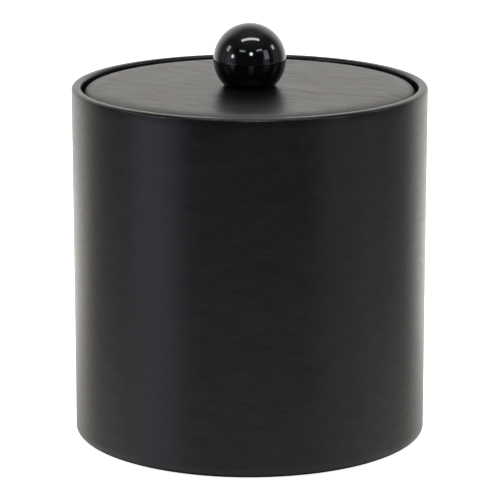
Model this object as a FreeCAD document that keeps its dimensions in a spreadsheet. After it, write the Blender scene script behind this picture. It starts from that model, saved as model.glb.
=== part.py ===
import FreeCAD, Part

import os

import Sketcher

# A leatherette-covered ice bucket with an inset lift-off lid and a ball knob.
# Millimetres, +Z up, the origin on the axis at the level that the feet stand on.

SAME = 0.001  # two sizes closer than this are the same size

# Driving dimensions: alias, value in millimetres, what it is.
DIMENSIONS = [
    ("outer_diameter", 190.5, "bucket over its cover"),
    ("rim_height", 190.2, "table to the crest of the rim"),
    ("wall_lift", 0.8, "table to the foot of the wall"),
    ("sheet", 1.1, "leatherette on its backing"),
    ("core_wall", 3.0, "fibreboard tube"),
    ("rim_outer_round", 1.6, "outside of the rim"),
    ("rim_inner_round", 1.4, "inside of the rim"),
    ("top_hem", 24.0, "cover turned in at the rim"),
    ("foot_hem", 14.0, "cover turned in at the foot"),
    ("seam_gap", 0.3, "butt seam of the cover"),
    ("glue_film", 0.05, "between glued round faces"),
    ("foot_diameter", 12.0, "rubber foot"),
    ("foot_rise", 2.0, "table to the underside"),
    ("foot_spacing", 100.0, "centre to centre of two feet in a row"),
    ("foot_bevel", 0.4, "edge of a foot"),
    ("base_cover_thickness", 0.8, "vinyl disc"),
    ("base_cover_margin", 0.6, "vinyl disc to the turned-in hem"),
    ("base_board_thickness", 5.0, "board disc"),
    ("base_foam_thickness", 22.0, "foam under the liner"),
    ("liner_wall", 2.0, "side of the moulded liner"),
    ("liner_floor", 2.2, "floor of the moulded liner"),
    ("liner_mouth_diameter", 165.0, "inside of the liner at its flange"),
    ("liner_floor_diameter", 158.6, "inside of the liner at its floor"),
    ("liner_corner", 12.0, "inside round between side and floor"),
    ("liner_flange", 2.4, "thickness of the flange"),
    ("liner_flange_diameter", 179.4, "flange"),
    ("flange_lip_round", 1.4, "edge of the flange at the mouth"),
    ("gasket_thickness", 1.5, "under the flange"),
    ("ledge_rise", 9.0, "height of the board ring"),
    ("ledge_inner_diameter", 172.0, "bore of the board ring"),
    ("foam_slack", 0.3, "around the foam pieces"),
    ("lid_diameter", 177.6, "lid over its cover"),
    ("lid_drop", 0.4, "crest of the rim to the lid's top"),
    ("lid_edge_round", 2.3, "top edge of the lid"),
    ("lid_hem", 14.0, "lid cover turned under the board"),
    ("padding_thickness", 1.7, "foam under the lid's cover"),
    ("lid_board_thickness", 6.4, "stiff disc of the lid"),
    ("pan_flange", 2.4, "flange of the lid's pan"),
    ("pan_flange_diameter", 172.8, "pan over its flange"),
    ("pan_wall", 2.0, "side and floor of the pan"),
    ("plug_depth", 15.0, "plug below the pan's flange"),
    ("plug_diameter", 162.0, "plug at the flange"),
    ("plug_draft", 0.8, "plug's radius lost down its depth"),
    ("plug_round", 3.0, "lower edge of the plug"),
    ("boss_diameter", 15.6, "post in the pan, round the screw"),
    ("screw_hole", 4.8, "through the lid"),
    ("recess_diameter", 11.2, "for the screw's head"),
    ("recess_depth", 4.6, "for the screw's head"),
    ("knob_diameter", 38.9, "ball knob"),
    ("knob_rise", 14.0, "flat of the knob to the ball's centre"),
    ("knob_flat_round", 0.5, "edge of the knob's flat"),
    ("insert_diameter", 8.0, "brass insert"),
    ("insert_length", 12.5, "brass insert"),
    ("insert_setback", 0.4, "flat of the knob to the insert"),
    ("insert_bore", 4.1, "running through the insert"),
    ("insert_hole_depth", 15.0, "blind hole in the knob"),
    ("screw_diameter", 4.0, "machine screw"),
    ("screw_length", 35.0, "under the head"),
    ("screw_tip", 0.5, "bevel at the tip"),
    ("head_diameter", 8.0, "pan head"),
    ("head_rise", 2.6, "pan head"),
    ("head_round", 1.2, "edge of the pan head"),
    ("recess_width", 1.1, "arm of the cross recess"),
    ("recess_span", 4.6, "cross recess, tip to tip"),
    ("recess_sink", 1.5, "depth of the cross recess"),
    ("washer_diameter", 9.0, "flat washer"),
    ("washer_bore", 4.3, "flat washer"),
    ("washer_thickness", 0.8, "flat washer"),
    ("spring_diameter", 7.6, "split spring washer"),
    ("spring_bore", 4.2, "split spring washer"),
    ("spring_thickness", 0.9, "split spring washer"),
    ("spring_gap", 0.7, "split of the spring washer"),
]

# Radii and heights that follow from the driving dimensions: alias, formula.
DERIVED = [
    ("wall_radius", "Dims.outer_diameter / 2"),
    ("core_radius", "wall_radius - Dims.sheet"),
    ("core_bore", "core_radius - Dims.core_wall"),
    ("hem_bore", "core_bore - Dims.sheet"),
    ("core_top", "Dims.rim_height - Dims.sheet"),
    ("core_foot", "Dims.wall_lift + Dims.sheet"),
    ("base_board_bottom", "Dims.foot_rise + Dims.base_cover_thickness"),
    ("base_board_top", "base_board_bottom + Dims.base_board_thickness"),
    ("base_foam_top", "base_board_top + Dims.base_foam_thickness"),
    ("lid_top", "Dims.rim_height - Dims.lid_drop"),
    ("padding_top", "lid_top - Dims.sheet"),
    ("lid_board_top", "padding_top - Dims.padding_thickness"),
    ("lid_board_bottom", "lid_board_top - Dims.lid_board_thickness"),
    ("lid_cover_bottom", "lid_board_bottom - Dims.sheet"),
    ("seat_height", "lid_cover_bottom - Dims.pan_flange"),
    ("lid_radius", "Dims.lid_diameter / 2"),
    ("lid_board_radius", "lid_radius - Dims.sheet"),
    ("flange_bottom", "seat_height - Dims.liner_flange"),
    ("gasket_bottom", "flange_bottom - Dims.gasket_thickness"),
    ("ledge_bottom", "gasket_bottom - Dims.ledge_rise"),
    ("liner_bottom", "base_foam_top + Dims.foam_slack"),
    ("well_bottom", "liner_bottom + Dims.liner_floor"),
    ("liner_mouth", "Dims.liner_mouth_diameter / 2"),
    ("liner_foot", "Dims.liner_floor_diameter / 2"),
    ("plug_bottom", "seat_height - Dims.plug_depth"),
    ("plug_radius", "Dims.plug_diameter / 2"),
    ("plug_foot", "plug_radius - Dims.plug_draft"),
    ("pan_floor", "plug_bottom + Dims.pan_wall"),
    ("recess_top", "plug_bottom + Dims.recess_depth"),
    ("washer_bottom", "recess_top - Dims.washer_thickness"),
    ("spring_bottom", "washer_bottom - Dims.spring_thickness"),
    ("head_bottom", "spring_bottom - Dims.head_rise"),
    ("screw_end", "spring_bottom + Dims.screw_length"),
    ("knob_centre", "lid_top + Dims.knob_rise"),
    ("knob_radius", "Dims.knob_diameter / 2"),
    ("knob_flat", "sqrt(knob_radius ^ 2 - Dims.knob_rise ^ 2)"),
    ("insert_bottom", "lid_top + Dims.insert_setback"),
    ("insert_top", "insert_bottom + Dims.insert_length"),
]

doc = FreeCAD.newDocument("IceBucket")


def make_sheet(name, rows):
    """A sheet with one named value in each row."""
    sheet = doc.addObject("Spreadsheet::Sheet", name)
    for number, (alias, content, meaning) in enumerate(rows, start=1):
        sheet.set(f"A{number}", alias)
        sheet.set(f"B{number}", content)
        sheet.setAlias(f"B{number}", alias)
        sheet.set(f"C{number}", meaning)
    doc.recompute()
    return sheet


make_sheet("Dims", [(alias, str(value), meaning) for alias, value, meaning in DIMENSIONS])
stack = make_sheet("Stack", [(alias, "=" + formula, "") for alias, formula in DERIVED])
pieces = []


def size(expression):
    """The number that an expression of the sheets gives."""
    return float(stack.evalExpression(expression))


def new_body(label):
    """An empty body whose label names its file."""
    body = doc.addObject("PartDesign::Body", label)
    body.Label = label
    pieces.append(body)
    return body


def new_sketch(body, name, role):
    """A sketch on one of the body's own origin planes."""
    plane = next(f for f in body.Origin.OriginFeatures if f.Role == role)
    sketch = body.newObject("Sketcher::SketchObject", name)
    sketch.AttachmentSupport = (plane, [""])
    sketch.MapMode = "FlatFace"
    return sketch


def hold(sketch, kind, geometry, point, expression):
    """Bind one coordinate of a sketch point to an expression."""
    if expression == "0":
        axis = {"DistanceX": -2, "DistanceY": -1}[kind]
        sketch.addConstraint(Sketcher.Constraint("PointOnObject", geometry, point, axis))
        return
    place = sketch.addConstraint(
        Sketcher.Constraint(kind, -1, 1, geometry, point, size(expression)))
    sketch.setExpression(f"Constraints[{place}]", expression)


def join_corners(sketch, places):
    """Draw a closed chain of straight lines through the places."""
    count = len(places)
    for index in range(count):
        sketch.addGeometry(Part.LineSegment(places[index], places[(index + 1) % count]), False)
    for index in range(count):
        sketch.addConstraint(
            Sketcher.Constraint("Coincident", index, 2, (index + 1) % count, 1))


def outline(body, name, corners):
    """A closed straight-sided section in the XZ plane, from corners (radius, height)."""
    sketch = new_sketch(body, name, "XZ_Plane")
    join_corners(sketch, [FreeCAD.Vector(size(radius), size(height), 0)
                          for radius, height in corners])
    for index, (radius, height) in enumerate(corners):
        hold(sketch, "DistanceX", index, 1, radius)
        hold(sketch, "DistanceY", index, 1, height)
    return sketch


def turn(body, sketch):
    """The section turned once round the vertical axis."""
    turned = body.newObject("PartDesign::Revolution", f"{body.Label}_turned")
    turned.Profile = sketch
    turned.ReferenceAxis = (sketch, ["V_Axis"])
    turned.Angle = 360
    sketch.Visibility = False
    doc.recompute()
    return turned


def ring(label, inner, outer, bottom, top):
    """A plain turned disc or tube, with its radii and heights as expressions."""
    body = new_body(label)
    turn(body, outline(body, f"{label}_section",
                       [(inner, bottom), (outer, bottom), (outer, top), (inner, top)]))
    return body


def round_edges(body, name, radius, places, feature="PartDesign::Fillet"):
    """Round the circular edges at the given (radius, height) places, or bevel them."""
    base = body.Tip
    names = []
    for edge_radius, height in places:
        for index, edge in enumerate(base.Shape.Edges, start=1):
            if edge.Degenerated or not isinstance(edge.Curve, Part.Circle):
                continue
            near_radius = abs(edge.Curve.Radius - size(edge_radius)) < SAME
            near_height = abs(edge.Curve.Center.z - size(height)) < SAME
            if near_radius and near_height:
                names.append(f"Edge{index}")
    if not names:
        raise ValueError(f"{name} finds no edge")
    rounded = body.newObject(feature, name)
    rounded.Base = (base, names)
    setting = "Radius" if feature == "PartDesign::Fillet" else "Size"
    rounded.setExpression(setting, radius)
    doc.recompute()
    return rounded


def draw_rectangle(body, name, width, low, high):
    """A rectangle in the XY plane, centred on the Y axis and bound to its width."""
    sketch = new_sketch(body, name, "XY_Plane")
    half = size(width) / 2
    corners = [(-half, low), (half, low), (half, high), (-half, high)]
    join_corners(sketch, [FreeCAD.Vector(x, y, 0) for x, y in corners])
    sketch.addConstraint(Sketcher.Constraint("Symmetric", 0, 1, 0, 2, -2))
    sketch.addConstraint(Sketcher.Constraint("Symmetric", 2, 1, 2, 2, -2))
    across = sketch.addConstraint(Sketcher.Constraint("DistanceX", 0, 1, 0, 2, 2 * half))
    sketch.setExpression(f"Constraints[{across}]", width)
    return sketch


def back_slot(body, name, width, near, far):
    """A rectangle that crosses a ring's wall at the back, from y = near to y = far."""
    sketch = draw_rectangle(body, name, width, size(near), size(far))
    sketch.addConstraint(Sketcher.Constraint("Vertical", 1))
    hold(sketch, "DistanceY", 0, 1, near)
    hold(sketch, "DistanceY", 2, 1, far)
    return sketch


def centred_bar(body, name, width, length):
    """A rectangle centred on the origin."""
    half = size(length) / 2
    sketch = draw_rectangle(body, name, width, -half, half)
    sketch.addConstraint(Sketcher.Constraint("Symmetric", 1, 1, 1, 2, -1))
    along = sketch.addConstraint(Sketcher.Constraint("DistanceY", 1, 1, 1, 2, 2 * half))
    sketch.setExpression(f"Constraints[{along}]", length)
    return sketch


def cut_up(body, name, sketch, depth=None):
    """Cut the sketch upwards from its plane, to a depth or through everything."""
    before = body.Shape.Volume
    pocket = body.newObject("PartDesign::Pocket", name)
    pocket.Profile = sketch
    pocket.Reversed = True
    if depth is None:
        pocket.Type = "ThroughAll"
    else:
        pocket.Type = "Length"
        pocket.setExpression("Length", depth)
    sketch.Visibility = False
    doc.recompute()
    if body.Shape.Volume > before - SAME:
        raise ValueError(f"{name} cuts nothing")
    return pocket


# ---------------------------------------------------------------- bucket


def make_feet():
    """Four round feet at the corners of a square."""
    body = new_body("base_feet")
    body.AllowCompound = True
    sketch = new_sketch(body, "base_feet_circles", "XY_Plane")
    half = size("Dims.foot_spacing / 2")
    for index, (side, way) in enumerate([(1, 1), (-1, 1), (-1, -1), (1, -1)]):
        centre = FreeCAD.Vector(side * half, way * half, 0)
        up = FreeCAD.Vector(0, 0, 1)
        sketch.addGeometry(Part.Circle(centre, up, size("Dims.foot_diameter / 2")), False)
        width = sketch.addConstraint(
            Sketcher.Constraint("Diameter", index, size("Dims.foot_diameter")))
        sketch.setExpression(f"Constraints[{width}]", "Dims.foot_diameter")
    sketch.addConstraint(Sketcher.Constraint("Symmetric", 0, 3, 1, 3, -2))
    sketch.addConstraint(Sketcher.Constraint("Symmetric", 2, 3, 3, 3, -2))
    sketch.addConstraint(Sketcher.Constraint("Symmetric", 0, 3, 3, 3, -1))
    hold(sketch, "DistanceX", 0, 3, "Dims.foot_spacing / 2")
    hold(sketch, "DistanceY", 0, 3, "Dims.foot_spacing / 2")
    pad = body.newObject("PartDesign::Pad", "base_feet_discs")
    pad.Profile = sketch
    pad.setExpression("Length", "Dims.foot_rise")
    sketch.Visibility = False
    doc.recompute()
    round_edges(body, "base_feet_bevel", "Dims.foot_bevel", [("Dims.foot_diameter / 2", "0")],
                "PartDesign::Chamfer")


def make_base():
    """The vinyl disc and the board that close the tube."""
    ring("base_cover", "0", "Stack.hem_bore - Dims.base_cover_margin",
         "Dims.foot_rise", "Stack.base_board_bottom")
    ring("base_board", "0", "Stack.hem_bore - Dims.glue_film",
         "Stack.base_board_bottom", "Stack.base_board_top")


def make_wall_core():
    """The fibreboard tube, its upper edges eased for the fold."""
    body = ring("wall_core", "Stack.core_bore", "Stack.core_radius",
                "Stack.core_foot", "Stack.core_top")
    round_edges(body, "wall_core_outer_ease", "Dims.rim_outer_round - Dims.sheet",
                [("Stack.core_radius", "Stack.core_top")])
    round_edges(body, "wall_core_inner_ease", "Dims.rim_inner_round - Dims.sheet",
                [("Stack.core_bore", "Stack.core_top")])


def make_wall_wrap():
    """The covering sheet: round the tube, over the rim, under the foot, seam at the back."""
    outer = "Stack.wall_radius"
    core_out = "Stack.core_radius + Dims.glue_film"
    core_in = "Stack.core_bore - Dims.glue_film"
    inner = "Stack.hem_bore"
    foot_end = "Dims.wall_lift + Dims.foot_hem"
    top_end = "Dims.rim_height - Dims.top_hem"
    body = new_body("wall_wrap")
    corners = [
        (outer, "Dims.wall_lift"), (outer, "Dims.rim_height"),
        (inner, "Dims.rim_height"), (inner, top_end),
        (core_in, top_end), (core_in, "Stack.core_top"),
        (core_out, "Stack.core_top"), (core_out, "Stack.core_foot"),
        (core_in, "Stack.core_foot"), (core_in, foot_end),
        (inner, foot_end), (inner, "Dims.wall_lift"),
    ]
    turn(body, outline(body, "wall_wrap_section", corners))
    round_edges(body, "wall_wrap_rim_outside", "Dims.rim_outer_round",
                [(outer, "Dims.rim_height")])
    round_edges(body, "wall_wrap_rim_inside", "Dims.rim_inner_round",
                [(inner, "Dims.rim_height")])
    round_edges(body, "wall_wrap_fold_outside", "Dims.rim_outer_round - Dims.sheet",
                [(core_out, "Stack.core_top")])
    round_edges(body, "wall_wrap_fold_inside", "Dims.rim_inner_round - Dims.sheet",
                [(core_in, "Stack.core_top")])
    round_edges(body, "wall_wrap_foot", "Dims.sheet",
                [(outer, "Dims.wall_lift"), (inner, "Dims.wall_lift")])
    slot = back_slot(body, "wall_wrap_seam_slot", "Dims.seam_gap",
                     "Stack.hem_bore - Dims.sheet", "Stack.wall_radius + Dims.sheet")
    cut_up(body, "wall_wrap_seam", slot)


def make_insulation():
    """The foam disc under the liner and the foam sleeve round it."""
    ring("insulation_base", "0", "Stack.hem_bore - Dims.foam_slack",
         "Stack.base_board_top", "Stack.base_foam_top")
    body = new_body("insulation_sleeve")
    outer = "Stack.core_bore - Dims.foam_slack"
    side = "Dims.liner_wall + Dims.foam_slack"
    corners = [
        (f"Stack.liner_foot + {side}", "Stack.base_foam_top"),
        (outer, "Stack.base_foam_top"),
        (outer, "Stack.ledge_bottom"),
        (f"Stack.liner_mouth + {side}", "Stack.ledge_bottom"),
    ]
    turn(body, outline(body, "insulation_sleeve_section", corners))


def make_ledge():
    """The board ring that carries the liner, and the gasket on it."""
    ring("ledge_ring", "Dims.ledge_inner_diameter / 2", "Stack.hem_bore - Dims.glue_film",
         "Stack.ledge_bottom", "Stack.gasket_bottom")
    ring("flange_gasket", "Dims.ledge_inner_diameter / 2", "Dims.liner_flange_diameter / 2",
         "Stack.gasket_bottom", "Stack.flange_bottom")


def make_inner_liner():
    """The moulded pail, drafted towards its floor."""
    flange = "Dims.liner_flange_diameter / 2"
    outer_mouth = "Stack.liner_mouth + Dims.liner_wall"
    outer_foot = "Stack.liner_foot + Dims.liner_wall"
    body = new_body("inner_liner")
    corners = [
        ("0", "Stack.liner_bottom"), (outer_foot, "Stack.liner_bottom"),
        (outer_mouth, "Stack.flange_bottom"), (flange, "Stack.flange_bottom"),
        (flange, "Stack.seat_height"), ("Stack.liner_mouth", "Stack.seat_height"),
        ("Stack.liner_foot", "Stack.well_bottom"), ("0", "Stack.well_bottom"),
    ]
    turn(body, outline(body, "inner_liner_section", corners))
    round_edges(body, "inner_liner_well_corner", "Dims.liner_corner",
                [("Stack.liner_foot", "Stack.well_bottom")])
    round_edges(body, "inner_liner_outer_corner", "Dims.liner_corner + Dims.liner_wall",
                [(outer_foot, "Stack.liner_bottom")])
    round_edges(body, "inner_liner_lip", "Dims.flange_lip_round",
                [("Stack.liner_mouth", "Stack.seat_height")])


# ---------------------------------------------------------------- lid


def make_lid_cover():
    """The covering sheet of the lid: over the padding, down the edge and turned under."""
    hole = "Dims.screw_hole / 2"
    core = "Stack.lid_board_radius + Dims.glue_film"
    hem_end = "Stack.lid_radius - Dims.lid_hem"
    body = new_body("lid_cover")
    corners = [
        (hole, "Stack.lid_top"), ("Stack.lid_radius", "Stack.lid_top"),
        ("Stack.lid_radius", "Stack.lid_cover_bottom"), (hem_end, "Stack.lid_cover_bottom"),
        (hem_end, "Stack.lid_board_bottom"), (core, "Stack.lid_board_bottom"),
        (core, "Stack.padding_top"), (hole, "Stack.padding_top"),
    ]
    turn(body, outline(body, "lid_cover_section", corners))
    round_edges(body, "lid_cover_top_roll", "Dims.lid_edge_round",
                [("Stack.lid_radius", "Stack.lid_top")])
    round_edges(body, "lid_cover_top_fold", "Dims.lid_edge_round - Dims.sheet",
                [(core, "Stack.padding_top")])
    round_edges(body, "lid_cover_lower_roll", "Dims.sheet",
                [("Stack.lid_radius", "Stack.lid_cover_bottom")])


def make_lid_core():
    """The padding and the stiff disc inside the cover."""
    hole = "Dims.screw_hole / 2"
    padding = ring("lid_padding", hole, "Stack.lid_board_radius",
                   "Stack.lid_board_top", "Stack.padding_top")
    round_edges(padding, "lid_padding_roll", "Dims.lid_edge_round - Dims.sheet",
                [("Stack.lid_board_radius", "Stack.padding_top")])
    ring("lid_board", hole, "Stack.lid_board_radius",
         "Stack.lid_board_bottom", "Stack.lid_board_top")


def make_lid_pan():
    """The moulded underside: a flange, a drafted plug and a post round the screw."""
    flange = "Dims.pan_flange_diameter / 2"
    recess = "Dims.recess_diameter / 2"
    hole = "Dims.screw_hole / 2"
    post = "Dims.boss_diameter / 2"
    inner_top = "Stack.plug_radius - Dims.pan_wall"
    inner_foot = "Stack.plug_foot - Dims.pan_wall"
    body = new_body("lid_pan")
    corners = [
        (hole, "Stack.recess_top"), (recess, "Stack.recess_top"),
        (recess, "Stack.plug_bottom"), ("Stack.plug_foot", "Stack.plug_bottom"),
        ("Stack.plug_radius", "Stack.seat_height"), (flange, "Stack.seat_height"),
        (flange, "Stack.lid_cover_bottom"), (inner_top, "Stack.lid_cover_bottom"),
        (inner_foot, "Stack.pan_floor"), (post, "Stack.pan_floor"),
        (post, "Stack.lid_board_bottom"), (hole, "Stack.lid_board_bottom"),
    ]
    turn(body, outline(body, "lid_pan_section", corners))
    round_edges(body, "lid_pan_plug_round", "Dims.plug_round",
                [("Stack.plug_foot", "Stack.plug_bottom")])


def make_lid_insulation():
    """The foam disc that fills the pan round its post."""
    inner = "Dims.boss_diameter / 2 + Dims.foam_slack"
    outer = "Stack.plug_foot - Dims.pan_wall - Dims.foam_slack"
    body = ring("lid_insulation", inner, outer, "Stack.pan_floor", "Stack.lid_cover_bottom")
    round_edges(body, "lid_insulation_ease", "Dims.plug_round - Dims.pan_wall",
                [(outer, "Stack.pan_floor")])


def make_knob():
    """The ball with its flat and its blind hole, and the brass insert in the hole."""
    body = new_body("knob_ball")
    sketch = new_sketch(body, "knob_ball_section", "XZ_Plane")
    hole = "Dims.insert_diameter / 2 + Dims.glue_film"
    hole_top = "Stack.lid_top + Dims.insert_hole_depth"
    flat = size("Stack.knob_flat")
    low = size("Stack.lid_top")
    centre = FreeCAD.Vector(0, size("Stack.knob_centre"), 0)
    radius = size("Stack.knob_radius")
    across = FreeCAD.Vector(radius, 0, 0)
    rise = FreeCAD.Vector(flat, low, 0) - centre
    ball = Part.Circle(centre, FreeCAD.Vector(0, 0, 1), radius)
    start = -across.getAngle(rise)
    quarter = across.getAngle(FreeCAD.Vector(0, 1, 0))
    sketch.addGeometry(Part.ArcOfCircle(ball, start, quarter), False)
    path = [
        FreeCAD.Vector(0, centre.y + radius, 0), FreeCAD.Vector(0, size(hole_top), 0),
        FreeCAD.Vector(size(hole), size(hole_top), 0), FreeCAD.Vector(size(hole), low, 0),
        FreeCAD.Vector(flat, low, 0),
    ]
    for here, there in zip(path, path[1:]):
        sketch.addGeometry(Part.LineSegment(here, there), False)
    ends = [(0, 2, 1, 1), (1, 2, 2, 1), (2, 2, 3, 1), (3, 2, 4, 1), (4, 2, 0, 1)]
    for first, first_end, second, second_end in ends:
        sketch.addConstraint(
            Sketcher.Constraint("Coincident", first, first_end, second, second_end))
    hold(sketch, "DistanceX", 0, 3, "0")
    hold(sketch, "DistanceY", 0, 3, "Stack.knob_centre")
    bend = sketch.addConstraint(Sketcher.Constraint("Radius", 0, radius))
    sketch.setExpression(f"Constraints[{bend}]", "Stack.knob_radius")
    hold(sketch, "DistanceX", 1, 1, "0")
    hold(sketch, "DistanceX", 1, 2, "0")
    hold(sketch, "DistanceY", 1, 2, hole_top)
    hold(sketch, "DistanceX", 2, 2, hole)
    hold(sketch, "DistanceY", 2, 2, hole_top)
    hold(sketch, "DistanceX", 3, 2, hole)
    hold(sketch, "DistanceY", 3, 2, "Stack.lid_top")
    hold(sketch, "DistanceY", 4, 2, "Stack.lid_top")
    turn(body, sketch)
    round_edges(body, "knob_ball_flat_edge", "Dims.knob_flat_round",
                [("Stack.knob_flat", "Stack.lid_top")])
    ring("knob_insert", "Dims.insert_bore / 2", "Dims.insert_diameter / 2",
         "Stack.insert_bottom", "Stack.insert_top")


def make_screw():
    """The pan-head screw, head down, with a cross recess."""
    shank = "Dims.screw_diameter / 2"
    head = "Dims.head_diameter / 2"
    body = new_body("knob_screw")
    corners = [
        ("0", "Stack.head_bottom"), (head, "Stack.head_bottom"),
        (head, "Stack.spring_bottom"), (shank, "Stack.spring_bottom"),
        (shank, "Stack.screw_end"), ("0", "Stack.screw_end"),
    ]
    turn(body, outline(body, "knob_screw_section", corners))
    round_edges(body, "knob_screw_head_round", "Dims.head_round",
                [(head, "Stack.head_bottom")])
    round_edges(body, "knob_screw_tip", "Dims.screw_tip",
                [(shank, "Stack.screw_end")], "PartDesign::Chamfer")
    bars = [("Dims.recess_width", "Dims.recess_span"), ("Dims.recess_span", "Dims.recess_width")]
    for index, (width, length) in enumerate(bars, start=1):
        bar = centred_bar(body, f"knob_screw_bar_{index}", width, length)
        bar.setExpression(".AttachmentOffset.Base.z", "Stack.head_bottom")
        doc.recompute()
        cut_up(body, f"knob_screw_recess_{index}", bar, "Dims.recess_sink")


def make_washers():
    """The flat washer and the split spring washer under the screw's head."""
    ring("knob_washer", "Dims.washer_bore / 2", "Dims.washer_diameter / 2",
         "Stack.washer_bottom", "Stack.recess_top")
    body = ring("knob_lock_washer", "Dims.spring_bore / 2", "Dims.spring_diameter / 2",
                "Stack.spring_bottom", "Stack.washer_bottom")
    slot = back_slot(body, "knob_lock_washer_slot", "Dims.spring_gap",
                     "Dims.screw_diameter / 4", "Dims.spring_diameter")
    cut_up(body, "knob_lock_washer_split", slot)


make_feet()
make_base()
make_wall_core()
make_wall_wrap()
make_insulation()
make_ledge()
make_inner_liner()
make_lid_cover()
make_lid_core()
make_lid_pan()
make_lid_insulation()
make_knob()
make_screw()
make_washers()
doc.recompute()

for item in doc.Objects:
    if {"Invalid", "Error"} & set(item.State):
        raise ValueError(f"{item.Name} failed")
for piece in pieces:
    if piece.Shape.isNull() or not piece.Shape.isValid():
        raise ValueError(f"{piece.Label} has no valid shape")

os.makedirs("parts", exist_ok=True)
for piece in pieces:
    piece.Shape.exportStep(f"parts/{piece.Label}.step")
    print(f"{piece.Label}: {len(piece.Shape.Solids)} solid(s), {piece.Shape.Volume / 1000:.2f} cm3")
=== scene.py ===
"""The looks of the ice bucket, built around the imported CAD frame.

Metres, +Z up, the front towards -Y. The wall's sheet, the lid's sheet and foam, and the knob are
made here and replace their plain CAD solids; every other piece keeps its CAD mesh."""

import math

import bpy
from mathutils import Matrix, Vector, noise


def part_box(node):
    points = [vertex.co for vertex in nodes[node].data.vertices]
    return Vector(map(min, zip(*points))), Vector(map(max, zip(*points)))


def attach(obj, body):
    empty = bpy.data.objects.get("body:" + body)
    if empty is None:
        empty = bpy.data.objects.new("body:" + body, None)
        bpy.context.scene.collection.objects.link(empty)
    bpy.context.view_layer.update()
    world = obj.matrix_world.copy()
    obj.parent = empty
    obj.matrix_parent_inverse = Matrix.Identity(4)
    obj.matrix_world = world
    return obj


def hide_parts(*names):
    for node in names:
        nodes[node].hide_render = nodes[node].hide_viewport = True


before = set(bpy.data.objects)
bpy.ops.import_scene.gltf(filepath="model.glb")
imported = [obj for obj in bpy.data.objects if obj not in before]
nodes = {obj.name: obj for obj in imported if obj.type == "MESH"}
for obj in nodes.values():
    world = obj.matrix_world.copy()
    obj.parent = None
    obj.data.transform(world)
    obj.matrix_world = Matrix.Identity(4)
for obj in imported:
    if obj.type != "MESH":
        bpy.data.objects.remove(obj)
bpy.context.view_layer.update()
MM = 0.001
STREAK_ANGLE = math.radians(30)  # from the X axis, towards the front, to the lid's grain
FEWEST_ARC_POINTS, MOST_ARC_POINTS = 6, 14  # on one rounded corner of a sheet's path


# ---------------------------------------------------------------- mesh helpers


def rounded_path(corners, step):
    """Points along a line with rounded corners, as (r, z), about step apart and closer on the rounds.
    corners are (r, z, radius of the round); the first and last have no round."""
    points = []

    def run_to(end):
        start = points[-1]
        length = math.dist(start, end)
        count = max(1, round(length / step))
        for i in range(1, count + 1):
            t = i / count
            points.append((start[0] + (end[0] - start[0]) * t, start[1] + (end[1] - start[1]) * t))

    points.append(corners[0][:2])
    for before, (r, z, radius), after in zip(corners, corners[1:], corners[2:]):
        back = Vector((before[0] - r, before[1] - z)).normalized()
        ahead = Vector((after[0] - r, after[1] - z)).normalized()
        half = back.angle(ahead) / 2
        reach = radius / math.tan(half)
        begin = Vector((r, z)) + back * reach
        centre = Vector((r, z)) + (back + ahead).normalized() * (radius / math.sin(half))
        run_to(tuple(begin))
        sweep = math.pi - 2 * half
        turn = 1 if back.x * ahead.y - back.y * ahead.x < 0 else -1
        wanted = round(sweep * radius / (step * 0.25))
        count = min(MOST_ARC_POINTS, max(FEWEST_ARC_POINTS, wanted))
        arm = begin - centre
        for i in range(1, count + 1):
            a = turn * sweep * i / count
            across = arm.x * math.cos(a) - arm.y * math.sin(a)
            up = arm.x * math.sin(a) + arm.y * math.cos(a)
            points.append((centre.x + across, centre.y + up))
    run_to(corners[-1][:2])
    return points


def side_normals(path):
    """The unit normal on the right-hand side of each point of an open path of (r, z)."""
    normals = []
    for i in range(len(path)):
        a, b = path[max(i - 1, 0)], path[min(i + 1, len(path) - 1)]
        along = Vector((b[0] - a[0], b[1] - a[1])).normalized()
        normals.append((along.y, -along.x))
    return normals


def mesh_object(name, verts, faces):
    mesh = bpy.data.meshes.new(name)
    mesh.from_pydata(verts, [], faces)
    mesh.validate()
    mesh.update()
    mesh.shade_smooth()
    made = bpy.data.objects.new(name, mesh)
    bpy.context.scene.collection.objects.link(made)
    return made


def even_angles(count):
    return [2 * math.pi * i / count for i in range(count)]


def revolve(name, loop, angles, closed, shift=None):
    """Turns a closed loop of (r, z) round +Z. closed joins the last angle to the first; otherwise
    both ends get a face. Angle 0 is +Y, the back. shift(index, angle, point) moves one vertex."""
    verts, faces, n = [], [], len(loop)
    for angle in angles:
        direction = Vector((-math.sin(angle), math.cos(angle), 0))
        for i, (r, z) in enumerate(loop):
            point = direction * r + Vector((0, 0, z))
            verts.append(point if shift is None else point + shift(i, angle, point))
    turns = len(angles)
    for j in range(turns if closed else turns - 1):
        k = (j + 1) % turns
        for i in range(n):
            m = (i + 1) % n
            faces.append((j * n + i, k * n + i, k * n + m, j * n + m))
    if not closed:
        faces.append(tuple(reversed(range(n))))
        faces.append(tuple(range((turns - 1) * n, turns * n)))
    return mesh_object(name, verts, faces)


def revolve_solid(name, path, turns):
    """Turns a path of (r, z) that starts and ends on the axis into a closed solid."""
    verts, faces = [], []
    ring = path[1:-1]
    for angle in even_angles(turns):
        for r, z in ring:
            verts.append((-math.sin(angle) * r, math.cos(angle) * r, z))
    first, last = len(verts), len(verts) + 1
    verts += [(0, 0, path[0][1]), (0, 0, path[-1][1])]
    n = len(ring)
    for j in range(turns):
        k = (j + 1) % turns
        faces.append((first, k * n, j * n))
        faces.append((last, j * n + n - 1, k * n + n - 1))
        for i in range(n - 1):
            faces.append((j * n + i, k * n + i, k * n + i + 1, j * n + i + 1))
    return mesh_object(name, verts, faces)


def waviness(point, size, seed=0.0):
    """Smooth noise from -1 to 1 with lumps about size wide."""
    return noise.noise(point / size + Vector((seed, seed * 1.7, seed * 0.6)))


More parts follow.
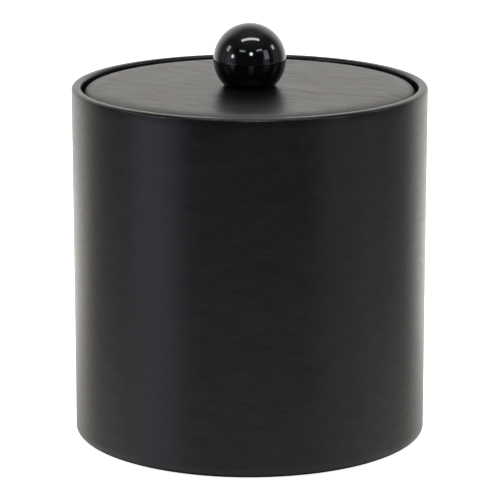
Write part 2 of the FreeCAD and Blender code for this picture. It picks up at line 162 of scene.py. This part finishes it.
def blend(low, high, value):
    """0 below low, 1 above high, and smooth between."""
    t = min(1.0, max(0.0, (value - low) / (high - low)))
    return t * t * (3 - 2 * t)


# ------------------------------------------------------------ material helpers


def add(tree, kind, inputs=None, **settings):
    """Adds a shader node. A socket given as an input is linked, and any other value is set."""
    made = tree.nodes.new("ShaderNode" + kind)
    for key, value in settings.items():
        setattr(made, key, value)
    for key, value in (inputs or {}).items():
        if isinstance(value, bpy.types.NodeSocket):
            tree.links.new(value, made.inputs[key])
        else:
            made.inputs[key].default_value = value
    return made


def math_node(tree, operation, a, b=0.0):
    return add(tree, "Math", {0: a, 1: b}, operation=operation).outputs[0]


def weighted(tree, value, weight):
    return math_node(tree, "MULTIPLY", value, weight)


def total(tree, first, *others):
    for other in others:
        first = math_node(tree, "ADD", first, other)
    return first


def noise_texture(tree, coordinates, scale, **more):
    """Soft noise, scale of it to the metre. more holds its detail and roughness."""
    inputs = {"Vector": coordinates, "Scale": scale}
    inputs.update({key.title(): value for key, value in more.items()})
    return add(tree, "TexNoise", inputs).outputs["Fac"]


def cell_texture(tree, coordinates, scale, feature="F1", **more):
    """The distance to the nearest of scattered points, scale of them to the metre."""
    inputs = {"Vector": coordinates, "Scale": scale}
    inputs.update({key.title(): value for key, value in more.items()})
    return add(tree, "TexVoronoi", inputs, feature=feature).outputs["Distance"]


def stretched(tree, coordinates, scale):
    return add(tree, "Mapping", {"Vector": coordinates, "Scale": scale}).outputs["Vector"]


def remap(tree, value, low, high, to_low, to_high):
    return add(
        tree,
        "MapRange",
        {"Value": value, "From Min": low, "From Max": high, "To Min": to_low, "To Max": to_high},
    ).outputs["Result"]


def ramp(tree, value, low, high):
    """A colour that runs evenly between two stops, each (position, colour)."""
    made = add(tree, "ValToRGB", {"Fac": value})
    for element, (position, colour) in zip(made.color_ramp.elements, (low, high)):
        element.position, element.color = position, (*colour, 1)
    return made.outputs["Color"]


def new_material(name, **constants):
    """A material with a Principled shader, whose constants are set on its own sockets."""
    made = bpy.data.materials.new(name)
    made.use_nodes = True
    tree = made.node_tree
    tree.nodes.clear()
    shader = add(tree, "BsdfPrincipled", constants)
    output = add(tree, "OutputMaterial")
    tree.links.new(shader.outputs["BSDF"], output.inputs["Surface"])
    coordinates = add(tree, "TexCoord").outputs["Object"]
    return made, tree, shader, coordinates


def set_colour(tree, shader, colour):
    tree.links.new(colour, shader.inputs["Base Color"])


def set_roughness(tree, shader, roughness):
    tree.links.new(roughness, shader.inputs["Roughness"])


def set_bump(tree, shader, height, distance):
    bump = add(tree, "Bump", {"Height": height, "Distance": distance})
    tree.links.new(bump.outputs["Normal"], shader.inputs["Normal"])


def leatherette(name, roughness, grain, lie, turn, specular, uneven, lumpy, dull, dulling):
    """Thin black coated sheet with a fine, low grain. lie stretches its drawn folds and the clouds in
    its shine along the way the sheet was rolled, which is turned by turn from the X axis. uneven is
    how far its roughness strays, and lumpy is the depth of its soft lumps. Between the two heights
    in dull the sheet is drawn over an edge, which adds up to dulling to its roughness."""
    made, tree, shader, at = new_material(name, **{"IOR": 1.4, "Specular IOR Level": specular})
    turned = add(tree, "VectorRotate", {"Vector": at, "Angle": turn}, rotation_type="Z_AXIS")
    laid = stretched(tree, turned.outputs["Vector"], lie)
    pebbles = cell_texture(tree, at, 1300.0, "SMOOTH_F1", smoothness=0.6)
    fine = noise_texture(tree, at, 2600.0, detail=2.0)
    folds = noise_texture(tree, laid, 760.0, detail=3.0, roughness=0.55)
    clouds = noise_texture(tree, laid, 170.0, detail=6.0, roughness=0.6)
    wide = noise_texture(tree, at, 40.0, detail=3.0, roughness=0.5)
    streaks = noise_texture(tree, laid, 280.0, detail=4.0, roughness=0.6)
    lumps = noise_texture(tree, laid, 120.0, detail=3.0, roughness=0.45)
    height_above_feet = add(tree, "SeparateXYZ", {"Vector": at}).outputs["Z"]
    drawn = remap(tree, height_above_feet, *dull, 0.0, 1.0)

    relief = total(
        tree,
        weighted(tree, pebbles, 0.5),
        weighted(tree, fine, 0.3),
        weighted(tree, folds, 2.2),
        weighted(tree, lumps, lumpy),
    )
    set_bump(tree, shader, relief, grain)

    shine = total(tree, weighted(tree, clouds, 0.55), weighted(tree, wide, 0.45))
    sheen = total(tree, weighted(tree, streaks, 0.6), weighted(tree, shine, 0.4))
    even = remap(tree, sheen, 0.3, 0.7, roughness - uneven, roughness + uneven)
    set_roughness(tree, shader, total(tree, even, weighted(tree, drawn, dulling)))
    # The base colour lightens where the clouds of shine are: painted sheen that mottles the black.
    black, painted_sheen = (0.0010, 0.0010, 0.0011), (0.0034, 0.0032, 0.0034)
    set_colour(tree, shader, ramp(tree, shine, (0.25, black), (0.75, painted_sheen)))
    return made


def gloss_knob():
    """Polished black phenolic, with faint smears and specks."""
    made, tree, shader, at = new_material(
        "knob_gloss",
        **{
            "IOR": 1.52,
            "Specular IOR Level": 0.5,
            "Coat Weight": 0.15,
            "Coat Roughness": 0.12,
            "Coat IOR": 1.5,
        },
    )
    smears = noise_texture(tree, at, 90.0, detail=5.0, roughness=0.65)
    specks = noise_texture(tree, at, 2600.0, detail=1.0)
    peel = noise_texture(tree, at, 420.0, detail=1.0)
    set_roughness(tree, shader, remap(tree, smears, 0.35, 0.75, 0.035, 0.085))
    black, speck = (0.0006, 0.0005, 0.0008), (0.0014, 0.0012, 0.0017)
    set_colour(tree, shader, ramp(tree, specks, (0.45, black), (0.75, speck)))
    set_bump(tree, shader, peel, 0.0025 * MM)
    return made


def moulded_plastic(name, colour, roughness):
    """Injection-moulded plastic: fine spark texture, faint clouding and scuffs."""
    made, tree, shader, at = new_material(
        name,
        **{
            "IOR": 1.49,
            "Subsurface Weight": 0.08,
            "Subsurface Radius": (0.004, 0.003, 0.002),
            "Subsurface Scale": 1.0,
        },
    )
    clouds = noise_texture(tree, at, 45.0, detail=4.0)
    grit = noise_texture(tree, at, 2400.0, detail=2.0)
    scuffs = noise_texture(tree, stretched(tree, at, (60.0, 60.0, 700.0)), 1.0, detail=3.0)
    dark = tuple(c * 0.93 for c in colour)
    set_colour(tree, shader, ramp(tree, clouds, (0.3, dark), (0.7, colour)))
    clouded = remap(tree, clouds, 0.3, 0.7, roughness - 0.05, roughness + 0.05)
    set_roughness(tree, shader, total(tree, clouded, remap(tree, scuffs, 0.55, 0.8, 0.0, 0.14)))
    set_bump(tree, shader, grit, 0.015 * MM)
    return made


def bead_foam():
    """White expanded foam, whose beads show."""
    made, tree, shader, at = new_material("white_foam", **{"IOR": 1.3, "Specular IOR Level": 0.25})
    beads = cell_texture(tree, at, 330.0)
    tone = noise_texture(tree, at, 60.0, detail=3.0)
    bead, joint = (0.86, 0.86, 0.85), (0.62, 0.62, 0.61)
    set_colour(tree, shader, ramp(tree, beads, (0.25, bead), (0.75, joint)))
    set_roughness(tree, shader, remap(tree, tone, 0.3, 0.7, 0.65, 0.8))
    set_bump(tree, shader, weighted(tree, beads, -1.0), 0.4 * MM)
    return made


def cell_foam():
    """Dark soft foam with open cells."""
    made, tree, shader, at = new_material("soft_foam", **{"IOR": 1.3, "Specular IOR Level": 0.2})
    cells = cell_texture(tree, at, 1100.0)
    tone = noise_texture(tree, at, 200.0, detail=3.0)
    # The pits of the open cells, where the bump sinks, are painted darker: painted shade in the pits.
    shaded_pit, wall = (0.018, 0.018, 0.019), (0.07, 0.07, 0.072)
    set_colour(tree, shader, ramp(tree, cells, (0.1, shaded_pit), (0.7, wall)))
    set_roughness(tree, shader, remap(tree, tone, 0.3, 0.7, 0.85, 0.97))
    set_bump(tree, shader, cells, 0.3 * MM)
    return made


def pressed_board(name, dark, light, fibre_scale):
    """Board or tube of pressed fibres, which run along Y, with flecks."""
    made, tree, shader, at = new_material(name, **{"IOR": 1.4, "Specular IOR Level": 0.3})
    along_fibres = stretched(tree, at, (fibre_scale, fibre_scale * 0.25, fibre_scale))
    fibres = noise_texture(tree, along_fibres, 1.0, detail=6.0, roughness=0.7)
    flecks = noise_texture(tree, at, 1500.0, detail=2.0)
    mixed = total(tree, weighted(tree, fibres, 0.7), weighted(tree, flecks, 0.3))
    set_colour(tree, shader, ramp(tree, mixed, (0.35, dark), (0.65, light)))
    set_roughness(tree, shader, remap(tree, flecks, 0.3, 0.7, 0.7, 0.9))
    set_bump(tree, shader, mixed, 0.08 * MM)
    return made


def embossed_vinyl():
    """Black vinyl with a pebbled face."""
    made, tree, shader, at = new_material("base_vinyl", **{"IOR": 1.5, "Specular IOR Level": 0.4})
    pebbles = cell_texture(tree, at, 900.0, "SMOOTH_F1")
    clouds = noise_texture(tree, at, 70.0, detail=4.0)
    black, grey = (0.006, 0.006, 0.006), (0.012, 0.012, 0.012)
    set_colour(tree, shader, ramp(tree, clouds, (0.3, black), (0.7, grey)))
    set_roughness(tree, shader, remap(tree, clouds, 0.3, 0.7, 0.42, 0.58))
    set_bump(tree, shader, pebbles, 0.15 * MM)
    return made


def foot_rubber():
    """Black rubber with some dust on it."""
    made, tree, shader, at = new_material("foot_rubber", **{"IOR": 1.5, "Specular IOR Level": 0.3})
    grit = noise_texture(tree, at, 1800.0, detail=3.0)
    dust = noise_texture(tree, at, 300.0, detail=4.0)
    black, dusty = (0.012, 0.012, 0.012), (0.045, 0.043, 0.041)
    set_colour(tree, shader, ramp(tree, dust, (0.4, black), (0.75, dusty)))
    set_roughness(tree, shader, remap(tree, dust, 0.3, 0.7, 0.6, 0.85))
    set_bump(tree, shader, grit, 0.06 * MM)
    return made


def turned_metal(name, dark, light, roughness):
    """Metal with fine turned rings and faint stains."""
    made, tree, shader, at = new_material(name, **{"Metallic": 1.0})
    rings = noise_texture(tree, stretched(tree, at, (300.0, 300.0, 6000.0)), 1.0, detail=2.0)
    stains = noise_texture(tree, at, 500.0, detail=4.0)
    set_colour(tree, shader, ramp(tree, stains, (0.35, dark), (0.65, light)))
    set_roughness(tree, shader, remap(tree, stains, 0.3, 0.7, roughness - 0.06, roughness + 0.1))
    set_bump(tree, shader, rings, 0.01 * MM)
    return made


def give(thing, material):
    thing.data.materials.clear()
    thing.data.materials.append(material)


wall_top, lid_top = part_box("wall_wrap")[1].z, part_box("lid_cover")[1].z
wall_leather = leatherette(
    name="leatherette_wall",
    roughness=0.27,
    grain=0.000011,
    lie=(0.6, 0.6, 1.0),
    turn=0.0,
    specular=0.5,
    uneven=0.035,
    lumpy=9.0,
    dull=(wall_top - 1.3 * MM, wall_top - 0.2 * MM),
    dulling=0.05,
)
lid_leather = leatherette(
    name="leatherette_lid",
    roughness=0.355,
    grain=0.000014,
    lie=(0.3, 1.0, 0.4),
    turn=STREAK_ANGLE,
    specular=0.33,
    uneven=0.055,
    lumpy=13.0,
    dull=(lid_top - 0.8 * MM, lid_top - 2.1 * MM),
    dulling=0.14,
)
plastic = moulded_plastic("liner_plastic", (0.80, 0.79, 0.76), 0.38)
knob_finish = gloss_knob()
white_foam = bead_foam()
soft_foam = cell_foam()
fibreboard = pressed_board("fibreboard", (0.13, 0.085, 0.05), (0.26, 0.18, 0.11), 900.0)
board = pressed_board("board", (0.24, 0.21, 0.17), (0.40, 0.36, 0.30), 500.0)
vinyl = embossed_vinyl()
rubber = foot_rubber()
brass = turned_metal("brass", (0.62, 0.42, 0.16), (0.80, 0.58, 0.26), 0.26)
zinc = turned_metal("zinc_steel", (0.52, 0.53, 0.55), (0.72, 0.73, 0.74), 0.3)

for name, material in {
    "base_feet": rubber,
    "base_cover": vinyl,
    "base_board": board,
    "wall_core": fibreboard,
    "insulation_base": white_foam,
    "insulation_sleeve": white_foam,
    "ledge_ring": board,
    "flange_gasket": soft_foam,
    "inner_liner": plastic,
    "lid_board": board,
    "lid_insulation": white_foam,
    "lid_pan": plastic,
    "knob_insert": brass,
    "knob_washer": zinc,
    "knob_lock_washer": zinc,
    "knob_screw": zinc,
}.items():
    give(nodes[name], material)


# ------------------------------------------------------------- the wall's sheet

wrap_low, wrap_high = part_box("wall_wrap")

SHEET = 1.0 * MM  # how thick both sheets are
OUTER_R, CREST, FOOT = wrap_high.x, wrap_high.z, wrap_low.z
HEM_R = OUTER_R - 5.2 * MM
HEM_TOP_END = CREST - 24.0 * MM
HEM_FOOT_END = FOOT + 14.0 * MM
RIM_ROUND_OUT, RIM_ROUND_IN, FOOT_ROUND = 1.8 * MM, 1.6 * MM, 1.3 * MM
SEAM_GAP = 0.3 * MM
WALL_STEP, WALL_COLUMNS = 4.0 * MM, 560

skin = rounded_path(
    [
        (HEM_R, HEM_TOP_END, 0),
        (HEM_R, CREST, RIM_ROUND_IN),
        (OUTER_R, CREST, RIM_ROUND_OUT),
        (OUTER_R, FOOT, FOOT_ROUND),
        (HEM_R, FOOT, FOOT_ROUND),
        (HEM_R, HEM_FOOT_END, 0),
    ],
    WALL_STEP,
)
skin_normals = side_normals(skin)
glue_side = [(r + a * SHEET, z + b * SHEET) for (r, z), (a, b) in zip(skin, skin_normals)]
wrap_loop = skin + glue_side[::-1]
wrap_normals = skin_normals + skin_normals[::-1]

# Columns are even round the wall, and closer beside the seam, where the sheet's ends turn in.
seam_half = SEAM_GAP / 2 / OUTER_R
near_seam = [seam_half + x * MM / OUTER_R for x in (0.0, 0.12, 0.3, 0.6, 1.1, 1.8)]
first_even = near_seam[-1] + 2 * math.pi / WALL_COLUMNS
even_arc = 2 * math.pi - 2 * first_even
evens = [first_even + even_arc * i / (WALL_COLUMNS - 1) for i in range(WALL_COLUMNS)]
wrap_angles = near_seam + evens + [2 * math.pi - a for a in reversed(near_seam)]


def wrap_shift(index, angle, point):
    """How far a hand-laid sheet is off its true shape: it waves slightly, gathers on the rim, stands
    proud just below the rim at the front left, and turns in at the seam. Heights of these are in
    millimetres."""
    a, b = wrap_normals[index]
    outward = Vector((-math.sin(angle) * a, math.cos(angle) * a, b)) * -1
    wide = 0.04 * waviness(point, 45 * MM) + 0.012 * waviness(point, 14 * MM, 3.1)

    on_rim = blend(CREST - 3.5 * MM, CREST - 0.5 * MM, point.z)
    gathers = on_rim * (
        0.035 * waviness(Vector((point.x, point.y, point.z * 0.2)), 5.5 * MM, 7.3)
        + 0.012 * waviness(point, 2.2 * MM, 9.9)
    )

    from_ridge = (point.z - CREST + 2.6 * MM) / (0.55 * MM)
    proud = 0.16 * math.exp(-(from_ridge**2))
    round_from_front = math.degrees(math.atan2(point.x, -point.y))
    proud *= blend(-48, -40, round_from_front) * (1 - blend(-30, -20, round_from_front))

    from_seam = min(angle, 2 * math.pi - angle) * OUTER_R - SEAM_GAP / 2
    turned_in = -0.28 * (1 - blend(0.0, 1.1 * MM, from_seam)) ** 2
    outside = blend(HEM_R + 0.5 * MM, HEM_R + 1.5 * MM, math.hypot(point.x, point.y))
    return outward * (wide + gathers + proud - 0.05 + turned_in * outside) * MM


wrap_sheet = revolve("wrap_sheet", wrap_loop, wrap_angles, False, wrap_shift)
give(wrap_sheet, wall_leather)
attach(wrap_sheet, "bucket")
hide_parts("wall_wrap")


# -------------------------------------------------------------- the lid's cover

cover_low, cover_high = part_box("lid_cover")
padding_low, padding_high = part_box("lid_padding")

LID_R, LID_TOP, LID_UNDER = cover_high.x, cover_high.z, cover_low.z
HEM_IN = 74.0 * MM
LID_EDGE, LID_LOWER = 2.3 * MM, 1.15 * MM  # the rounds of its upper and lower edge
LID_ROLL = 3 * MM  # a margin that reaches past both rounds
BOLT_HOLE = 2.4 * MM
LID_STEP, LID_COLUMNS = 1.0 * MM, 512
PAD_ROUND, PAD_CORNER = 1.3 * MM, 0.2 * MM
PAD_STEP, PAD_COLUMNS = 3.0 * MM, 256

lid_skin = rounded_path(
    [
        (HEM_IN, LID_UNDER, 0),
        (LID_R, LID_UNDER, LID_LOWER),
        (LID_R, LID_TOP, LID_EDGE),
        (BOLT_HOLE, LID_TOP, 0),
    ],
    LID_STEP,
)
lid_normals = side_normals(lid_skin)
lid_glue = [(r - a * SHEET, z - b * SHEET) for (r, z), (a, b) in zip(lid_skin, lid_normals)]
# The glued side is never seen, so it has every second point.
glue_ring = lid_glue[:1] + lid_glue[1:-1:2] + lid_glue[-1:]
lid_loop = lid_skin + glue_ring[::-1]


def crease(x, y, start, end, width, depth, bend):
    """The height at (x, y) of a soft crease pressed into the lid's top from start to end. Its middle
    bows to the side by a quarter of bend."""
    line = end - start
    t = ((x - start.x) * line.x + (y - start.y) * line.y) / line.length_squared
    if not -0.05 < t < 1.05:
        return 0.0
    spot = Vector((x, y, 0))
    across = ((x - start.x) * line.y - (y - start.y) * line.x) / line.length - bend * t * (1 - t)
    across += 0.9 * MM * waviness(spot, 8 * MM, 2.9)
    ends = blend(0.0, 0.12, t) * (1 - blend(0.8, 1.0, t)) * (0.8 + 0.5 * waviness(spot, 5 * MM))
    return -depth * ends * math.exp(-((across / width) ** 2))


# Start, end, width, depth (in millimetres) and bend of each crease.
CREASES = [
    (Vector((0.016, -0.0175)), Vector((0.080, -0.0395)), 1.1 * MM, 0.150, 1.5 * MM),
    (Vector((0.018, -0.0300)), Vector((0.052, -0.0500)), 1.2 * MM, 0.030, 1.0 * MM),
    (Vector((-0.080, 0.0330)), Vector((-0.050, 0.0110)), 1.4 * MM, 0.035, -1.5 * MM),
    (Vector((-0.070, 0.0020)), Vector((-0.030, -0.0160)), 1.3 * MM, 0.030, 1.0 * MM),
    (Vector((-0.077, -0.0250)), Vector((-0.030, -0.0520)), 1.2 * MM, 0.040, 1.5 * MM),
    (Vector((-0.030, 0.0560)), Vector((0.020, 0.0330)), 1.6 * MM, 0.030, -2.0 * MM),
    (Vector((0.030, 0.0480)), Vector((0.070, 0.0250)), 1.5 * MM, 0.030, 1.0 * MM),
]
EDGE_DROOP, DROOP_WIDTH = 2.2 * MM, 15.0 * MM


def lid_top_shift(x, y):
    """How the padded top leaves its plane: it droops to the edge and is faintly wavy and creased. It
    lies flat under the knob. Heights of the waves are in millimetres."""
    r = math.hypot(x, y)
    droop = -EDGE_DROOP * min(1.0, max(0.0, (r - LID_R + DROOP_WIDTH) / DROOP_WIDTH)) ** 3
    along = x * math.cos(STREAK_ANGLE) - y * math.sin(STREAK_ANGLE)
    across = x * math.sin(STREAK_ANGLE) + y * math.cos(STREAK_ANGLE)
    laid = Vector((along * 0.3, across, 0))
    wide = 0.05 * waviness(Vector((x, y, 0)), 34 * MM, 1.3)
    drawn = 0.018 * waviness(laid, 4.5 * MM, 4.4)
    drawn += 0.010 * waviness(laid, 2.8 * MM, 6.1)
    lines = sum(crease(x, y, *line) for line in CREASES)
    clear_of_knob = blend(12 * MM, 15 * MM, r)
    return droop + (wide + drawn + lines) * clear_of_knob * MM


def lid_shift(index, angle, point):
    """The cover follows its padding on top, and is lightly puckered round the edge."""
    top = blend(LID_UNDER + LID_ROLL, LID_TOP - LID_ROLL, point.z)
    r = math.hypot(point.x, point.y)
    side = blend(LID_R - LID_ROLL, LID_R - 1 * MM, r)
    pucker = side * (0.05 * waviness(point, 5 * MM, 8.2) + 0.02 * waviness(point, 2.4 * MM, 5.7) - 0.05)
    out = Vector((point.x, point.y, 0)).normalized()
    return out * pucker * MM + Vector((0, 0, top * (lid_top_shift(point.x, point.y) - 0.02 * MM)))


lid_sheet = revolve("lid_sheet", lid_loop, even_angles(LID_COLUMNS), True, lid_shift)
give(lid_sheet, lid_leather)
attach(lid_sheet, "lid")
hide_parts("lid_cover")


# ------------------------------------------------------------ the lid's padding

pad_path = rounded_path(
    [
        (BOLT_HOLE, padding_high.z, 0),
        (padding_high.x, padding_high.z, PAD_ROUND),
        (padding_high.x, padding_low.z, PAD_CORNER),
        (BOLT_HOLE, padding_low.z, 0),
    ],
    PAD_STEP,
)


def foam_shift(index, angle, point):
    """The foam's top follows the cover; its lower face stays flat on the board."""
    if point.z < padding_low.z + 0.5 * MM:
        return Vector()
    return Vector((0, 0, lid_top_shift(point.x, point.y) - 0.04 * MM))


lid_foam = revolve("lid_foam", pad_path[::-1], even_angles(PAD_COLUMNS), True, foam_shift)
give(lid_foam, soft_foam)
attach(lid_foam, "lid")
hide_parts("lid_padding")


# --------------------------------------------------------------------- the knob

knob_low, knob_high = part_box("knob_ball")

KNOB_R = knob_high.x
KNOB_CENTRE = knob_high.z - KNOB_R
KNOB_FLAT = math.sqrt(KNOB_R**2 - (KNOB_CENTRE - knob_low.z) ** 2)
KNOB_BORE, KNOB_BORE_TOP = 4.05 * MM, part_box("knob_insert")[1].z + 2.1 * MM
KNOB_STEPS, KNOB_COLUMNS = 128, 256

# The ball, the rounded corner of its flat, the flat, and the blind bore for the insert.
ball_sweep = math.acos((knob_low.z - KNOB_CENTRE + 0.25 * MM) / KNOB_R)
knob_path = [(0, knob_high.z)]
for i in range(1, KNOB_STEPS + 1):
    a = ball_sweep * i / KNOB_STEPS
    knob_path.append((KNOB_R * math.sin(a), KNOB_CENTRE + KNOB_R * math.cos(a)))
knob_path += [
    (KNOB_FLAT - 0.05 * MM, knob_low.z + 0.09 * MM),
    (KNOB_FLAT - 0.25 * MM, knob_low.z + 0.01 * MM),
    (KNOB_FLAT - 0.6 * MM, knob_low.z),
    (KNOB_FLAT - 4 * MM, knob_low.z),
    (KNOB_BORE + 0.5 * MM, knob_low.z),
    (KNOB_BORE + 0.1 * MM, knob_low.z + 0.1 * MM),
    (KNOB_BORE, knob_low.z + 0.5 * MM),
    (KNOB_BORE, KNOB_BORE_TOP - 0.3 * MM),
    (KNOB_BORE - 0.3 * MM, KNOB_BORE_TOP),
    (0, KNOB_BORE_TOP),
]
knob = revolve_solid("knob", knob_path[::-1], KNOB_COLUMNS)
give(knob, knob_finish)
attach(knob, "lid")
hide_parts("knob_ball")


# ------------------------------------------------------------- floor and lights

FLOOR_HALF = 14  # metres, which puts its edge at the horizon


def floor_paper():
    """Matt white paper with a glow of its own, so that it stays white away from the lamps too."""
    made, tree, shader, at = new_material(
        "floor",
        **{
            "Specular IOR Level": 0.0,
            "Roughness": 0.9,
            "Emission Color": (1, 1, 1, 1),
            "Emission Strength": 0.85,
        },
    )
    tone = noise_texture(tree, at, 3.0, detail=2.0)
    duller, whiter = (0.89, 0.89, 0.89), (0.91, 0.91, 0.91)
    set_colour(tree, shader, ramp(tree, tone, (0.3, duller), (0.7, whiter)))
    return made


floor_corners = [(x * FLOOR_HALF, y * FLOOR_HALF, 0) for x, y in ((-1, -1), (1, -1), (1, 1), (-1, 1))]
floor = mesh_object("floor", floor_corners, [(0, 1, 2, 3)])
give(floor, floor_paper())
floor.visible_glossy = False

WARM, COOL, BLUE = (1.0, 0.970, 0.925), (0.94, 0.98, 1.08), (0.88, 0.98, 1.13)
PALE, DUSK, AMBER = (1.0, 0.98, 1.06), (0.99, 0.97, 1.13), (1.0, 0.96, 0.89)

# The tent's panels, in degrees. Azimuth 0 is the front (-Y) and +90 is the right (+X). Each has the
# azimuth of its middle, half the width that is evenly lit, half the width at which it has faded out,
# the elevations over which it comes in and over which it goes out, its brightness and its colour.
PANELS = [
    # The table, in front and behind.
    (0, 95, 125, (-32, -21), (-23, -14.8), 1.95, PALE),
    (180, 55, 85, (-32, -21), (-23, -14.8), 1.45, AMBER),
    # The backdrop, its upper part and its foot.
    (-178, 34, 77, (-18, -12.5), (5, 38), 1.27, WARM),
    (-178, 36, 74, (5, 38), (30, 70), 1.18, WARM),
    (-178, 32, 66, (-18.5, -15), (-14.5, -11.5), 0.95, AMBER),
    # The left and the right panel: their feet, then their bodies.
    (-62, 6, 26, (-18, -12), (-12, -6), 1.72, BLUE),
    (65, 8, 30, (-18, -12), (-12, -6), 0.74, PALE),
    (-61, 8, 20, (-12, -6), (14, 26), 0.34, BLUE),
    (55, 7, 14, (-12, -6), (12, 22), 0.34, COOL),
    # The same at the far left and the far right.
    (-96, 9, 31, (-18, -13), (-14, -8), 0.70, WARM),
    (98, 10, 28, (-18, -13), (-14, -8), 0.68, WARM),
    (-84, 8, 30, (-11, -5), (25, 45), 0.28, COOL),
    (95, 8, 20, (-11, -5), (25, 45), 0.28, COOL),
]


def build_world():
    """A light tent: a white backdrop and table, a dark front, and soft panels on each side, over a
    dim glow that starts below the horizon and a brighter one overhead."""
    world = bpy.data.worlds.new("studio")
    bpy.context.scene.world = world
    world.use_nodes = True
    tree = world.node_tree
    tree.nodes.clear()
    direction = add(tree, "TexCoord").outputs["Generated"]
    xyz = add(tree, "SeparateXYZ", {"Vector": direction}).outputs
    azimuth = math_node(tree, "ARCTAN2", xyz["X"], weighted(tree, xyz["Y"], -1.0))
    azimuth = weighted(tree, azimuth, 180 / math.pi)
    elevation = weighted(tree, math_node(tree, "ARCSINE", xyz["Z"]), 180 / math.pi)

    def step(value, low, high, up=True):
        """Rises smoothly from 0 at low to 1 at high, or falls from 1 to 0."""
        ends = {"To Min": 0.0 if up else 1.0, "To Max": 1.0 if up else 0.0}
        return add(
            tree,
            "MapRange",
            {"Value": value, "From Min": low, "From Max": high, **ends},
            interpolation_type="SMOOTHSTEP",
        ).outputs["Result"]

    def lit(light, share, brightness, colour):
        """Adds a share of one colour to the light."""
        tinted = tuple(brightness * c for c in colour)
        glow = add(tree, "VectorMath", {0: tinted, "Scale": share}, operation="SCALE").outputs[0]
        return add(tree, "VectorMath", {0: light, 1: glow}, operation="ADD").outputs[0]

    def panel(light, middle, full, faded, rises, falls, brightness, colour):
        """Adds one of PANELS to the light."""
        away = math_node(tree, "PINGPONG", math_node(tree, "SUBTRACT", azimuth, middle), 180.0)
        share = weighted(tree, step(away, full, faded, up=False), step(elevation, *rises))
        share = weighted(tree, share, step(elevation, *falls, up=False))
        return lit(light, share, brightness, colour)

    light = lit((0.0, 0.0, 0.0), step(elevation, -50, -24), 0.052, DUSK)
    light = lit(light, step(elevation, 25, 90), 0.30, WARM)
    for one in PANELS:
        light = panel(light, *one)
    background = add(tree, "Background", {"Color": light, "Strength": 1.0})
    output = add(tree, "OutputWorld")
    tree.links.new(background.outputs[0], output.inputs["Surface"])


def lamp(name, azimuth, elevation, size, power, colour=(1, 1, 1), height=None, distance=1.5, glossy=True):
    """An area light that faces the knob's centre. It is a disc size across or, with a height, a
    rectangle size wide. Reflections show it only where glossy is true."""
    data = bpy.data.lights.new(name, "AREA")
    data.shape = "RECTANGLE" if height else "DISK"
    data.size = size
    if height:
        data.size_y = height
    data.energy = power
    data.color = colour
    made = bpy.data.objects.new(name, data)
    bpy.context.scene.collection.objects.link(made)
    a, e = math.radians(azimuth), math.radians(elevation)
    away = Vector((math.sin(a) * math.cos(e), -math.cos(a) * math.cos(e), math.sin(e)))
    made.location = Vector((0, 0, KNOB_CENTRE)) + away * distance
    made.rotation_mode = "QUATERNION"
    made.rotation_quaternion = (-away).to_track_quat("-Z", "Y")
    made.visible_camera = False
    made.visible_glossy = glossy


build_world()
lamp("sky", 0, 90, 4.0, 60, height=4.0, distance=2.5, glossy=False)
lamp("key", 5, 25.5, 0.26, 3.1, (0.81, 1.0, 0.97))
lamp("fill_left", -57, 13, 0.26, 2.0, (0.82, 0.93, 1.0))
lamp("fill_right", 57, 18, 0.40, 1.8, (0.72, 0.86, 1.0), height=0.66)
lamp("warm_left", -83, 28, 0.28, 1.5, (1.0, 0.80, 0.67), height=0.36)
lamp("warm_right", 94, 27, 0.25, 1.3, (1.0, 0.83, 0.78), height=0.25)
lamp("strip", 6, 76, 1.30, 9.0, height=0.22)
lamp("thin_left", -27, 33.5, 0.46, 0.8, height=0.13)
lamp("thin_right", 36, 35, 0.46, 0.9, height=0.13)


# ----------------------------------------------------------------------- camera

camera = bpy.data.objects.new("camera", bpy.data.cameras.new("camera"))
bpy.context.scene.collection.objects.link(camera)
camera.location = (0.00015, -1.4695, 0.4663)
camera.rotation_euler = (math.radians(75.96), 0, 0)
camera.data.lens = 201.05
camera.data.sensor_width = 36
camera.data.clip_start, camera.data.clip_end = 0.05, 60
bpy.context.scene.camera = camera
bpy.context.scene.view_settings.view_transform = "Standard"
